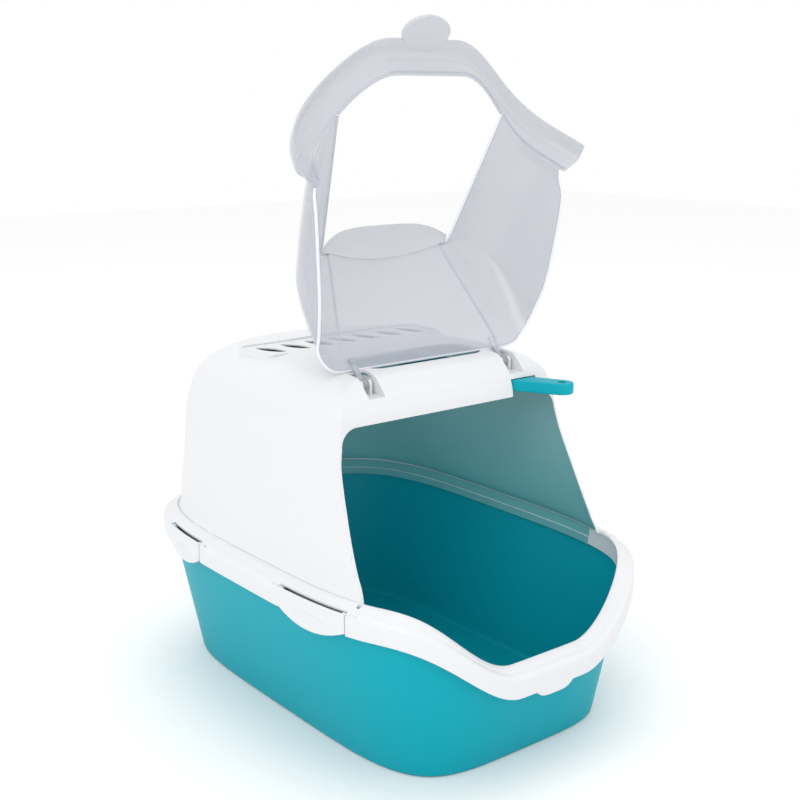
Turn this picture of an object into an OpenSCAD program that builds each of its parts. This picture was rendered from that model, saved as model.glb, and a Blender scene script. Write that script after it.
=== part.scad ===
// Hooded cat litter box: a deep tray, a hood clipped on with four latches, a translucent entry
// cover that swings up over the roof, a charcoal vent filter and a scoop kept under the roof.
// Millimetres, +Z up, +X to the right seen from the front, the entrance faces -Y.
// The origin is on the floor, under the middle of the rim.

/* [Rim] */
// Width over the hood's rim
rim_w = 400; // [396:1:404]
// Length over the hood's rim
rim_l = 560; // [556:1:564]
// Height of the rim skirt's lower edge at the sides
skirt_z = 158; // [156:0.5:160]
// Depth of the dip in the front of the rim
dip = 71; // [66:1:74]

/* [Tray] */
// Width of the tray's floor
floor_w = 302; // [294:1:306]
// Length of the tray's floor
floor_l = 480; // [472:1:484]
// Wall thickness of the tray
tray_t = 3; // [2.6:0.1:3.2]

/* [Hood] */
// Wall thickness of the hood
hood_t = 3; // [2.8:0.1:3.2]
// Height of the entrance opening's top edge
open_top_z = 346; // [344:0.5:348]

/* [Cover] */
// Wall thickness of the entry cover
cover_t = 2.2; // [2:0.1:2.4]
// How far the cover stands open from closed, in degrees
open_angle = 150; // [140:1:151]
// Distance of each cover hinge from the middle
hinge_x = 97.5; // [97:0.5:98]
// Radius of the cover's hinge pins
pin_r = 2.5; // [2.3:0.1:2.6]

/* [Latches] */
// Radius of the latches' hinge pins
latch_pin_r = 1.8; // [1.6:0.1:1.9]
// How far each latch hangs below the rim skirt
latch_drop = 9; // [7:0.5:10]

/* [Vent] */
// Number of vent slots in the roof
slot_count = 7; // [5:1:7]
// Distance from slot to slot
slot_pitch = 33.5; // [32:0.5:34]

/* [Scoop] */
// Width of the scoop's blade
blade_w = 104; // [90:1:108]
// Length of the scoop's blade
blade_l = 118; // [100:1:122]

/* [Hidden] */
$fn = 48;

teal = [0.0, 0.66, 0.74];
white = [0.95, 0.95, 0.96];
frosted = [0.86, 0.88, 0.93, 0.55];

rim_n = 3.65;        // squareness of the rim's outline
columns = 96;        // points round each closed shell
dip_out = 180;       // |x| where the front dip starts
dip_in = 44;         // |x| where it is at its full depth
tray_rim = 8;        // height of the tray's edge over the skirt's lower edge
front_edge_h = 20;   // and the same round the front
fit_gap = 0.05;      // radial clearance of a running pin

hinge_y = -90;
hinge_z = 381;
lid_slope = 22.3;    // slope of the closed cover's top panel
lid_over = 6.94;     // its outer face's distance from the hinge axis
hinge_gap = 4;       // half the space between a hinge's two ears
ear_t = 3.2;
ear_r = 4.4;

// ---------------------------------------------------------------- outlines

function smooth(t) = let(u = min(1, max(0, t))) u * u * (3 - 2 * u);
function mix(a, b, t) = a + (b - a) * t;
function unit(v) = v / norm(v);

// A rounded rectangle as a superellipse, at angle q.
function squircle(q, a, b, n) =
    let(c = cos(q), s = sin(q), k = pow(pow(abs(c), n) + pow(abs(s), n), -1 / n))
    [a * c * k, b * s * k];

function rim_at(q) = squircle(q, rim_w / 2, rim_l / 2, rim_n);
function rim_normal(q) =
    let(p = rim_at(q), a = rim_w / 2, b = rim_l / 2)
    unit([sign(p.x) * pow(abs(p.x) / a, rim_n - 1) / a, sign(p.y) * pow(abs(p.y) / b, rim_n - 1) / b]);
function inset(q, d) = rim_at(q) - d * rim_normal(q);

// How far the rim is lowered at angle q: only round the front.
function drop(q) =
    let(p = rim_at(q)) p.y < 0 ? dip * smooth((dip_out - abs(p.x)) / (dip_out - dip_in)) : 0;

// A point d inside the rim's outline and h above the skirt's lower edge.
function rim_point(q, d, h) = let(p = inset(q, d)) [p.x, p.y, skirt_z - drop(q) + h];

// The angle at which the rim's outline is at y, on the right-hand side.
function rim_angle(y) =
    let(v = y * 2 / rim_l, u = pow(1 - pow(abs(v), rim_n), 1 / rim_n)) atan2(v, u);

// ---------------------------------------------------------------- shells

// A shell between two grids of points of the same size, outside[i][j] and inside[i][j].
// wrap joins the last column to the first; close_low and close_high cap both skins there.
module shell(outside, inside, wrap = false, close_low = false, close_high = false) {
    ni = len(outside);
    nj = len(outside[0]);
    half = ni * nj;
    last = wrap ? ni - 1 : ni - 2;
    function o(i, j) = (i % ni) * nj + j;
    function n(i, j) = half + (i % ni) * nj + j;
    function quad(a, b, c, d) = [[a, b, c], [a, c, d]];
    skins = [for (i = [0:last], j = [0:nj - 2]) each concat(
        quad(o(i, j), o(i, j + 1), o(i + 1, j + 1), o(i + 1, j)),
        quad(n(i, j), n(i + 1, j), n(i + 1, j + 1), n(i, j + 1)))];
    low = close_low
        ? [[for (i = [0:ni - 1]) o(i, 0)], [for (i = [ni - 1:-1:0]) n(i, 0)]]
        : [for (i = [0:last]) each quad(o(i, 0), o(i + 1, 0), n(i + 1, 0), n(i, 0))];
    k = nj - 1;
    high = close_high
        ? [[for (i = [ni - 1:-1:0]) o(i, k)], [for (i = [0:ni - 1]) n(i, k)]]
        : [for (i = [0:last]) each quad(o(i + 1, k), o(i, k), n(i, k), n(i + 1, k))];
    e = ni - 1;
    ends = wrap ? [] : [for (j = [0:nj - 2]) each concat(
        quad(o(0, j + 1), o(0, j), n(0, j), n(0, j + 1)),
        quad(o(e, j), o(e, j + 1), n(e, j + 1), n(e, j)))];
    polyhedron(
        points = concat([for (c = outside) each c], [for (c = inside) each c]),
        faces = concat(skins, low, high, ends));
}

// The grid of points t inside a grid, measured square to its surface.
function thickened(g, t) =
    let(ni = len(g), nj = len(g[0]))
    [for (i = [0:ni - 1]) [for (j = [0:nj - 1])
        let(a = g[min(i + 1, ni - 1)][j] - g[max(i - 1, 0)][j],
            b = g[i][min(j + 1, nj - 1)] - g[i][max(j - 1, 0)])
        g[i][j] - t * unit(cross(a, b))]];

// An upright slab that follows the rim between two angles and two insets.
module rim_slab(q0, q1, d0, d1, z0, z1, steps = 12) {
    angles = [for (i = [0:steps]) mix(q0, q1, i / steps)];
    translate([0, 0, z0]) linear_extrude(z1 - z0)
        polygon(concat([for (q = angles) inset(q, d0)],
                       [for (i = [steps:-1:0]) inset(angles[i], d1)]));
}

// A plate with rounded corners, standing on z0.
module rounded_plate(x0, x1, y0, y1, r, z0, z1) {
    translate([0, 0, z0]) linear_extrude(z1 - z0) union() {
        translate([x0 + r, y0]) square([x1 - x0 - 2 * r, y1 - y0]);
        translate([x0, y0 + r]) square([x1 - x0, y1 - y0 - 2 * r]);
        for (x = [x0 + r, x1 - r], y = [y0 + r, y1 - r]) translate([x, y]) circle(r);
    }
}

// A solid with the outline points [y, z], reaching from x0 to x1.
module profile_x(points, x0, x1) {
    translate([x0, 0, 0]) rotate([90, 0, 90]) linear_extrude(x1 - x0) polygon(points);
}

// ---------------------------------------------------------------- tray

// The tray's edge stands higher inside the hood's rim round the front: 0 at the sides, 1 in front.
function front_rise(q) = smooth(3 * drop(q) / dip);
function edge_h(q) = mix(tray_rim, front_edge_h, front_rise(q));
function edge_z(q) = skirt_z + edge_h(q) - drop(q);

// The floor's outline: a squarer superellipse whose sides bow out a little.
floor_bow = 0.008;
function floor_at(q, e) =
    let(a = floor_w / 2 - e, b = floor_l / 2 - e, p = squircle(q, a, b, 5))
    [p.x * (1 - floor_bow * pow(p.y / b, 2)), p.y * (1 - floor_bow * pow(p.x / a, 2))];

// The tray's wall at angle q and height z, moved in by e.
function tray_point(q, z, e) =
    let(top_z = edge_z(q),
        low = floor_at(q, e),
        high = inset(q, 10 + e),
        p = mix(low, high, z / top_z))
    [p.x, p.y, z];

module tray() {
    flange_t = 2.5;
    function flange_in(q) = mix(3.4, 6.2, front_rise(q));
    function outer(q) = concat(
        [tray_point(q, 0, 2.8), tray_point(q, 1.3, 0.9), tray_point(q, 4, 0)],
        [for (u = [0.35, 0.7]) tray_point(q, u * edge_z(q), 0)],
        [tray_point(q, edge_z(q) - flange_t, 0),
         rim_point(q, flange_in(q), edge_h(q) - flange_t), rim_point(q, flange_in(q), edge_h(q))]);
    function inner(q) = concat(
        [tray_point(q, tray_t, 4 + tray_t), tray_point(q, tray_t + 1.6, 1.4 + tray_t),
         tray_point(q, tray_t + 5, tray_t)],
        [for (u = [0.35, 0.7]) tray_point(q, u * edge_z(q), tray_t)],
        [tray_point(q, edge_z(q) - flange_t, tray_t), tray_point(q, edge_z(q) - 0.8, tray_t),
         rim_point(q, 11.8, edge_h(q))]);
    angles = [for (i = [0:columns - 1]) i * 360 / columns];
    color(teal) shell([for (q = angles) outer(q)], [for (q = angles) inner(q)],
                      wrap = true, close_low = true);
}

// ---------------------------------------------------------------- hood

// The hood's outer skin from the rim up to the roof. Each level has its height, its half width,
// its length in front of and behind the middle, its squareness, and the y of its front face.
hood_levels = [
    [185.5, 184, 264, 264, 3.7, -179],
    [190, 180, 258, 259, 3.9, -177],
    [197, 176, 254, 255, 4.2, -173.5],
    [212, 172.5, 250, 254, 4.5, -165],
    [240, 167.5, 250, 255, 4.5, -151.5],
    [268, 162.5, 250, 255, 4.6, -139.5],
    [292, 158.3, 250, 254.5, 4.8, -129.5],
    [312, 155.3, 250, 253.5, 4.8, -123],
    [339, 150, 247, 251, 4.5, -119],
    [354, 148, 236, 242, 4.2, -117.5],
    [364, 145, 224, 232, 4, -114.5],
    [371, 142, 210, 222, 3.8, -112],
    [376, 139, 196, 213, 3.6, -108],
    [380, 136, 184, 205, 3.4, -104],
    [384, 132, 170, 196, 3.2, -100],
    [388, 126, 154, 184, 3, -96],
    [391, 114, 134, 166, 2.8, -88],
    [393, 90, 104, 136, 2.6, -70],
    [394.5, 40, 50, 70, 2.4, -36]];
roof_z = hood_levels[len(hood_levels) - 1][0];

// One level's outline at angle q, with the wall's thickness taken off when it is the inner skin.
function hood_point(level, q, t) =
    let(up = smooth((level[0] - 345) / 46), flat = sqrt(1 - up * up),
        half = (sin(q) < 0 ? level[2] : level[3]) - t * flat,
        p = squircle(q, level[1] - t * flat, half, level[4]),
        front = level[5] + t * max(flat, 0.75))
    [p.x, max(p.y, front), level[0] - t * up];

// A column of the levels' table at height z.
function level_at(z, k) = lookup(z, [for (v = hood_levels) [v[0], v[k]]]);
function front_y(z) = level_at(z, 5);

// Half width of the hood's wall at its front edge, at height z, t inside its outer skin.
function front_half(z, t) =
    let(n = level_at(z, 4), reach = level_at(z, 2) - t)
    (level_at(z, 1) - t) * pow(1 - pow(abs(front_y(z)) / reach, n), 1 / n);

module hood_body() {
    angles = [for (i = [0:columns - 1]) i * 360 / columns];
    shell([for (q = angles) [for (v = hood_levels) hood_point(v, q, 0)]],
          [for (q = angles) [for (v = hood_levels) hood_point(v, q, hood_t)]],
          wrap = true, close_high = true);
}

// The entrance: the front face is taken away between the two side walls, up to the brow.
module entrance() {
    corner = 20;
    side = [for (z = [180, 190, 200, 220, 240, 260, 280, 300, 312, open_top_z - corner])
            [front_half(max(z, 186), hood_t), z]];
    top_x = front_half(open_top_z - corner, hood_t) - corner;
    arc = [for (a = [15:15:90]) [top_x + corner * cos(a), open_top_z - corner * (1 - sin(a))]];
    right = concat(side, arc);
    left = [for (i = [len(right) - 1:-1:0]) [-right[i].x, right[i].y]];
    heights = [180, 190, 212, 240, 268, 292, 312, 339, open_top_z + 1];
    intersection() {
        rotate([90, 0, 0]) translate([0, 0, 80])
            linear_extrude(120) polygon(concat(right, left));
        profile_x(concat([for (z = heights) [front_y(max(z, 186)) - 5, z]],
                         [for (i = [len(heights) - 1:-1:0])
                          [front_y(max(heights[i], 186)) + 6, heights[i]]]), -190, 190);
    }
}

// The white band that caps the tray's edge, with a step along its top.
module rim_band() {
    angles = [for (i = [0:columns - 1]) i * 360 / columns];
    outer = [[0, 0], [0, 18], [1.2, 21.5], [4, 24], [8.2, 25.6], [9.6, 27], [14, 29.2], [19, 30]];
    inner = [[2.6, 0], [2.6, 17], [3.6, 19.2], [5.4, 21.2], [9, 22.8], [10.6, 24.2], [14.6, 26.4],
             [19, 27]];
    shell([for (q = angles) [for (p = outer) rim_point(q, p.x, p.y)]],
          [for (q = angles) [for (p = inner) rim_point(q, p.x, p.y)]], wrap = true);
}

// The skirt inside the tray's edge, ending in the front corners, and the ledge along it.
// Its columns stand midway between the band's.
module inner_skirt() {
    angles = [for (i = [0:columns - 1]) (i + 0.5) * 360 / columns];
    low_h = 6.5;
    high_h = 27.6;
    function low(q) = mix(low_h, 24.5, front_rise(q));
    function side(q, d) = [rim_point(q, d, low(q)), rim_point(q, d, high_h)];
    shell([for (q = angles) side(q, 15.2)], [for (q = angles) side(q, 17.4)], wrap = true);
    ledge_h = 16;
    steps = 60;
    from = rim_angle(-160);
    arc = [for (i = [0:steps]) mix(from, 180 - from, i / steps)];
    shell([for (q = arc) [rim_point(q, 16.6, low_h), rim_point(q, 16.6, ledge_h)]],
          [for (q = arc) [rim_point(q, 18.6, low_h), rim_point(q, 18.6, ledge_h)]]);
}

// Short ribs under the band that rest on the tray's edge.
module seat_ribs() {
    half = 0.35;
    for (m = [0, 1], q = [rim_angle(-40), rim_angle(40), rim_angle(200), 70]) mirror([m, 0, 0])
        rim_slab(q - half, q + half, 4.4, 9, skirt_z + tray_rim, skirt_z + 23.4, 1);
}

// Where each latch sits: the rim angles of its two ends, on the right-hand side.
latch_spans = [[rim_angle(-178), rim_angle(-75)], [rim_angle(86), rim_angle(166)]];
latch_axis_d = 3.2;   // how far the latch's axis is inside the rim at its ends
latch_axis_z = skirt_z + 20;
pin_reach = 4;        // how far a latch's pin reaches into the rim

// Places children with +X along a latch's axis, at its middle.
module on_latch_axis(span) {
    a = inset(span[0], latch_axis_d);
    b = inset(span[1], latch_axis_d);
    mid = (a + b) / 2;
    translate([mid.x, mid.y, latch_axis_z]) rotate([0, 0, atan2(b.y - a.y, b.x - a.x)]) children();
}
function latch_length(span) = norm(inset(span[1], latch_axis_d) - inset(span[0], latch_axis_d));

module latch_bosses(span) {
    boss = 2.2;
    for (q = [[span[0] - boss, span[0] - 0.1], [span[1] + 0.1, span[1] + boss]])
        rim_slab(q[0], q[1], 1, 7, latch_axis_z - 5, latch_axis_z + 3.4, 3);
}
module latch_window(span) {
    rim_slab(span[0], span[1], -3, 5.4, skirt_z - 2, skirt_z + 27);
    rim_slab(span[0], span[1], 5, 8.2, skirt_z - 2, latch_axis_z + 2.6);
}
module latch_bores(span) {
    length = latch_length(span) + 2 * pin_reach + 1;
    on_latch_axis(span) rotate([0, 90, 0]) cylinder(r = latch_pin_r + fit_gap, h = length, center = true);
}

// Each cover hinge sits in a pocket in the roof's front edge, between two ears.
pocket_x = [87.2, 107.8];
pocket_back = -74.5;
pocket_floor = 370.5;
pocket_wall = 2.6;
module hinge_pocket_walls() {
    low = pocket_floor - pocket_wall;
    back = pocket_back + pocket_wall;
    profile_x([[-110.6, low], [-110.6, 371], [-104.5, 378], [-97, 385], [-90, 387],
               [back, 387], [back, low]],
              pocket_x[0] - pocket_wall, pocket_x[1] + pocket_wall);
}
module hinge_pocket() {
    translate([pocket_x[0], -118, pocket_floor])
        cube([pocket_x[1] - pocket_x[0], 118 + pocket_back, 30]);
}
module hinge_ears() {
    for (s = [-1, 1]) {
        x = hinge_x + (s > 0 ? hinge_gap : -hinge_gap - ear_t);
        translate([x, hinge_y, hinge_z]) rotate([0, 90, 0]) cylinder(r = ear_r, h = ear_t);
        translate([x, hinge_y - ear_r, pocket_floor - 1]) cube([ear_t, 2 * ear_r, hinge_z - pocket_floor + 1]);
    }
}
module hinge_bore() {
    translate([hinge_x, hinge_y, hinge_z]) rotate([0, 90, 0])
        cylinder(r = pin_r + fit_gap, h = 2 * (hinge_gap + ear_t) + 1, center = true);
}

// The carrying grip: a hand opening in the roof behind the brow.
grip_half = 84;
grip_front = -80;
grip_back = -24;
grip_r = 22;

// The vent in the rear of the roof.
vent_half = 124;
vent_y0 = 50;
vent_y1 = 114;
vent_floor_z = 387;
vent_plate_t = 3;

module vent_slot() {
    wide = 15;
    long = 44;
    r = (long * long + wide * wide) / 4 / wide;
    translate([0, 0, vent_floor_z - 6]) linear_extrude(12) intersection() {
        translate([r - wide / 2, 0]) circle(r, $fn = 96);
        translate([wide / 2 - r, 0]) circle(r, $fn = 96);
    }
}

// The scoop lies level under the roof, with its handle out at the front right.
scoop_turn = 27;       // its angle from straight ahead
scoop_end = [125, -155];
handle_w = 26;
handle_z = 351.5;
handle_h = 12.5;
handle_l = 104;        // from the rounded end's centre to the blade
rail_gap = 0.6;
handle_gap_x = [86.6, 124];   // gap in the brow that the handle comes out of
handle_gap_y = [-126, -96];
handle_gap_z = [open_top_z - 8, open_top_z + 19];

// A box given by its two limits on each axis.
module box_between(x, y, z) {
    translate([x[0], y[0], z[0]]) cube([x[1] - x[0], y[1] - y[0], z[1] - z[0]]);
}

// Places children with +X along the scoop's handle, from its end back to the blade.
module on_scoop() {
    translate([scoop_end.x, scoop_end.y, handle_z]) rotate([0, 0, 90 + scoop_turn]) children();
}

// The ring under the roof that the handle slides in.
hanger_from = 62;
hanger_l = 22;
module scoop_hanger() {
    wall = 3;
    w = handle_w + 2 * rail_gap;
    top = pocket_floor - 2 - handle_z;
    on_scoop() translate([hanger_from, 0, 0]) difference() {
        translate([0, -w / 2 - wall, -rail_gap - wall]) cube([hanger_l, w + 2 * wall, top + wall + rail_gap]);
        translate([-1, -w / 2, -rail_gap]) cube([hanger_l + 2, w, handle_h + 2 * rail_gap]);
    }
}

// The rounded tab under the rim's front edge.
module rim_tab() {
    half = 25;
    tab_drop = 6.5;
    edge = rim_point(-90, 0, 0);
    translate([0, edge.y + 2.4, edge.z]) rotate([90, 0, 0]) linear_extrude(2.4) polygon(concat(
        [[half, 3], [-half, 3]],
        [for (i = [0:12]) let(x = half * (i / 6 - 1)) [x, -tab_drop * (1 - pow(x / half, 4))]]));
}

module hood() {
    color(white) difference() {
        union() {
            difference() {
                union() {
                    difference() {
                        hood_body();
                        entrance();
                    }
                    for (m = [0, 1]) mirror([m, 0, 0]) hinge_pocket_walls();
                    rounded_plate(-vent_half - 3, vent_half + 3, vent_y0 - 3, vent_y1 + 3, 14,
                                  vent_floor_z - vent_plate_t, vent_floor_z + 1);
                    scoop_hanger();
                }
                for (m = [0, 1]) mirror([m, 0, 0]) hinge_pocket();
                rounded_plate(-grip_half, grip_half, grip_front, grip_back, grip_r, 375, 400);
                rounded_plate(-vent_half, vent_half, vent_y0, vent_y1, 12, vent_floor_z, 400);
                for (i = [0:slot_count - 1])
                    translate([(i - (slot_count - 1) / 2) * slot_pitch, (vent_y0 + vent_y1) / 2, 0])
                        rotate([0, 0, 20]) vent_slot();
                box_between(handle_gap_x, handle_gap_y, handle_gap_z);
            }
            difference() {
                union() {
                    difference() {
                        rim_band();
                        for (m = [0, 1], span = latch_spans) mirror([m, 0, 0]) latch_window(span);
                    }
                    for (m = [0, 1], span = latch_spans) mirror([m, 0, 0]) latch_bosses(span);
                }
                for (m = [0, 1], span = latch_spans) mirror([m, 0, 0]) latch_bores(span);
                for (m = [0, 1]) mirror([m, 0, 0]) translate([174, -182, skirt_z]) cylinder(r = 2.6, h = 40);
            }
            rim_tab();
            inner_skirt();
            seat_ribs();
            for (m = [0, 1]) mirror([m, 0, 0]) hinge_ears();
        }
        for (m = [0, 1]) mirror([m, 0, 0]) hinge_bore();
    }
}

// ---------------------------------------------------------------- cover

// Everything here is drawn with the cover closed, then swung open about its hinge.
lip_from = rim_angle(-184);
wall_from = rim_angle(-190);      // where a side wall starts on the lip, at the hood
wall_to = -57.9;                  // and where it ends, at the entrance
foot_in = 24;                     // the side walls' feet: inset and height
foot_h = 29.5;
side_rows = 9;
bend_rows = 6;
top_rows = 7;
lid_back = -112;                  // the closed cover's rear edge
crease = [89, -230, 307];         // where the side walls, the top and the brow meet
crease_r = 12;
crease_rise = 13;
bend_x = 110;                     // half width of the top panel's flat part at the rear

// Height of the closed cover's top panel at y.
function lid_z(y) = hinge_z + lid_over / cos(lid_slope) + (y - hinge_y) * tan(lid_slope);

// The line along which the cover meets the hood, from the rim up to the middle of the top.
function back_edge(i) =
    i <= side_rows
    ? let(u = i / side_rows, z = mix(skirt_z + foot_h, 340, u), foot = rim_point(wall_from, foot_in, foot_h),
          b = smooth(u * 5))
      [mix(foot.x, front_half(max(z, 190), 0), b), mix(foot.y, front_y(max(z, 190)) - 2.5, b), z]
    : i <= side_rows + bend_rows
    ? let(a = 90 * (i - side_rows) / bend_rows, z = mix(340, lid_z(lid_back), sin(a)))
      [bend_x + 38.5 * cos(a), min(front_y(z) - 2.5, lid_back), z]
    : let(u = (i - side_rows - bend_rows) / top_rows) [bend_x * (1 - u), lid_back, lid_z(lid_back)];

// The same line round the entrance.
function front_edge(i) =
    i <= side_rows
    ? mix(rim_point(wall_to, foot_in, foot_h), crease, i / side_rows)
    : i <= side_rows + bend_rows
    ? let(a = 90 * (i - side_rows) / bend_rows) crease + crease_r * [cos(a) - 1, 0, sin(a)]
    : crease_at((crease.x - crease_r) * (1 - (i - side_rows - bend_rows) / top_rows));
function crease_at(x) =
    [x, crease.y, crease.z + crease_r + crease_rise * (1 - pow(x / (crease.x - crease_r), 2))];

// The skin between the two lines: the walls turn a rounded corner to the entrance, the top is
// flat between its creases, and the walls' feet follow the lip.
corner_n = 2.6;
function skin_point(i, v) =
    let(b = back_edge(i), f = front_edge(i),
        forward = pow(sin(90 * v), 2 / corner_n),
        outward = i < side_rows + bend_rows ? pow(cos(90 * v), 2 / corner_n) : 1 - forward)
    [f.x + (b.x - f.x) * outward, mix(b.y, f.y, forward), mix(b.z, f.z, forward)];
function cover_point(i, v) =
    let(hold = i < side_rows ? pow(1 - i / side_rows, 2) : 0,
        foot = rim_point(mix(wall_from, wall_to, v), foot_in, foot_h))
    skin_point(i, v) + hold * (foot - skin_point(0, v));

module cover_skin() {
    rows = side_rows + bend_rows + top_rows;
    steps = 8;
    right = [for (i = [0:rows]) [for (j = [0:steps]) cover_point(i, j / steps)]];
    left = [for (i = [rows - 1:-1:0]) [for (p = right[i]) [-p.x, p.y, p.z]]];
    skin = concat(right, left);
    shell(skin, thickened(skin, cover_t));
}

// The strip of front face over the entrance.
module cover_brow() {
    half = 85;
    steps = 16;
    xs = [for (i = [0:steps]) half * (2 * i / steps - 1)];
    function top(x) = crease_at(min(abs(x), crease.x - crease_r) * sign(x)) + [0, 1, -1.5]
        + [x - min(abs(x), crease.x - crease_r) * sign(x), 0, 0];
    function low(x) = let(e = pow(abs(x) / half, 4)) [x, crease.y - 1 - 16 * (1 - e), 298 + 9 * e];
    skin = [for (x = xs) [low(x), mix(low(x), top(x), 0.5) + [0, -1.5, 1], top(x)]];
    shell(skin, thickened(skin, cover_t));
}

// The lip: an upside-down channel that sits over the front of the rim.
module cover_lip() {
    outer = [[-3.2, 6.5], [-3.2, 18.8], [-1.4, 24], [2.8, 27.4], [7.6, 29], [13, 32.6], [19, 34.2],
             [23, 34.2], [25, 32.6], [25, 29]];
    inner = [[-1.2, 6.5], [-1.2, 18.4], [0, 22.6], [3.6, 25.6], [8, 27.1], [13.4, 30.7], [19, 32.2],
             [22, 32], [23, 31.2], [23, 29]];
    steps = 44;
    angles = [for (i = [0:steps]) mix(-180 - lip_from, lip_from, i / steps)];
    shell([for (q = angles) [for (p = outer) rim_point(q, p.x, p.y)]],
          [for (q = angles) [for (p = inner) rim_point(q, p.x, p.y)]]);
}

// A knuckle with its pin, carried on an arm.
module cover_hinge() {
    w = 2 * hinge_gap - 0.8;
    arm_w = w - 0.8;
    arm_low = 1.6;
    arm_high = 4.9;
    arm_l = 32;
    joint_l = 9;
    joint_high = 5.6;
    translate([hinge_x, hinge_y, hinge_z]) rotate([0, 90, 0]) {
        cylinder(r = 4.6, h = w, center = true);
        cylinder(r = pin_r, h = w + 2 * ear_t, center = true);
    }
    translate([hinge_x - arm_w / 2, hinge_y, hinge_z]) rotate([lid_slope, 0, 0])
        union() {
            translate([0, -arm_l, arm_low]) cube([arm_w, arm_l, arm_high - arm_low]);
            translate([0, -arm_l, arm_low]) cube([arm_w, joint_l, joint_high - arm_low]);
        }
}

// The oval pull tab in the middle of the lip.
module cover_tab() {
    lip = rim_point(-90, -3.2, 6);
    translate([0, lip.y + 2.4, lip.z]) rotate([90, 0, 0]) difference() {
        union() {
            translate([0, -6, 0]) scale([30, 19, 1]) cylinder(r = 1, h = 4.6, $fn = 64);
            translate([-26, -4, 0]) cube([52, 10, 3]);
        }
        translate([0, -8, 3.4]) scale([19, 9, 1]) cylinder(r = 1, h = 2, $fn = 64);
    }
}

module front_cover() {
    color(frosted) translate([0, hinge_y, hinge_z]) rotate([-open_angle, 0, 0])
        translate([0, -hinge_y, -hinge_z]) union() {
            cover_skin();
            cover_brow();
            cover_lip();
            for (m = [0, 1]) mirror([m, 0, 0]) cover_hinge();
            cover_tab();
        }
}

// ---------------------------------------------------------------- latches

// One latch: a half-moon plate in the rim's skirt, a hook under the tray's edge, and two pins.
module latch(span, side) {
    play = 0.25;
    length = latch_length(span);
    a = rim_at(span[0]);
    b = rim_at(span[1]);
    mid_y = (a.y + b.y) / 2;
    half = (b.y - a.y) / 2;
    bulge = latch_drop + 3;
    r = (half * half + bulge * bulge) / 2 / bulge;
    play_q = play / 3.4;
    color(white) mirror([side < 0 ? 1 : 0, 0, 0]) {
        intersection() {
            rim_slab(span[0] + play_q, span[1] - play_q, -1.2, 1.6, skirt_z - latch_drop, latch_axis_z + 2.5);
            translate([150, mid_y, 0]) rotate([90, 0, 90]) linear_extrude(60) union() {
                translate([0, skirt_z - latch_drop + r]) circle(r, $fn = 128);
                translate([-half, skirt_z + 3]) square([2 * half, 40]);
            }
        }
        rim_slab(span[0] + 6 * play_q, span[1] - 6 * play_q, 0.8, 4.8, latch_axis_z - 2, latch_axis_z - 0.2);
        for (s = [-1, 1]) on_latch_axis(span) translate([s * (length / 2 - 3), 0, 0])
            rotate([0, 90, 0]) cylinder(r = 2.6, h = 5, center = true);
        for (s = [-1, 1]) on_latch_axis(span) translate([s * (length / 2 + pin_reach / 2 - 0.5), 0, 0])
            rotate([0, 90, 0]) cylinder(r = latch_pin_r, h = pin_reach + 1, center = true);
        inner_q = [mix(span[0], span[1], 0.3), mix(span[0], span[1], 0.7)];
        hook_z = skirt_z + tray_rim - 2.5;
        rim_slab(inner_q[0], inner_q[1], 1.4, 6.4, hook_z - 2.6, hook_z - 0.3);
    }
}
module latch_front_left() { latch(latch_spans[0], -1); }
module latch_front_right() { latch(latch_spans[0], 1); }
module latch_rear_left() { latch(latch_spans[1], -1); }
module latch_rear_right() { latch(latch_spans[1], 1); }

// ---------------------------------------------------------------- vent filter

holder_x = 118;
holder_y0 = 55;
holder_y1 = 109;
holder_z0 = 374;
holder_top = vent_floor_z - vent_plate_t;

// A shallow frame clipped under the vent, open below through a grid.
module filter_holder() {
    wall = 2;
    color(teal) difference() {
        translate([-holder_x, holder_y0, holder_z0])
            cube([2 * holder_x, holder_y1 - holder_y0, holder_top - holder_z0]);
        translate([-holder_x + wall, holder_y0 + wall, holder_z0 + wall])
            cube([2 * holder_x - 2 * wall, holder_y1 - holder_y0 - 2 * wall, holder_top]);
        for (i = [-5:5], j = [-1:1])
            translate([i * 20.5 - 8, (holder_y0 + holder_y1) / 2 + j * 16 - 6.5, holder_z0 - 1])
                cube([16, 13, wall + 2]);
    }
}

module carbon_filter() {
    gap = 2.4;
    color([0.13, 0.13, 0.14]) translate([-holder_x + gap, holder_y0 + gap, holder_z0 + 2])
        cube([2 * holder_x - 2 * gap, holder_y1 - holder_y0 - 2 * gap, holder_top - holder_z0 - 2.2]);
}

// ---------------------------------------------------------------- scoop

module scoop() {
    wall = 2.4;
    sift_w = 5;
    side_h = 18;
    color(teal) on_scoop() {
        difference() {
            union() {
                cylinder(r = handle_w / 2, h = handle_h);
                translate([0, -handle_w / 2, 0]) cube([handle_l, handle_w, handle_h]);
            }
            translate([0, 0, -1]) cylinder(r = handle_w / 2 - wall, h = handle_h - wall + 1);
            translate([0, wall - handle_w / 2, -1])
                cube([handle_l - wall, handle_w - 2 * wall, handle_h - wall + 1]);
            translate([0, 0, -1]) cylinder(r = 5, h = handle_h + 2);
        }
        difference() {
            translate([handle_l - 0.5, -blade_w / 2, 0]) cube([blade_l, blade_w, side_h]);
            translate([handle_l + wall, wall - blade_w / 2, wall])
                cube([blade_l, blade_w - 2 * wall, side_h]);
            for (i = [-4:4])
                translate([handle_l + 16, i * 10.6 - sift_w / 2, -1]) cube([blade_l - 32, sift_w, wall + 2]);
        }
    }
}

tray();
hood();
front_cover();
latch_front_left();
latch_front_right();
latch_rear_left();
latch_rear_right();
filter_holder();
carbon_filter();
scoop();
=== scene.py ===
import math
import bmesh
import bpy
import numpy as np
from mathutils import Matrix, Vector


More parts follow.
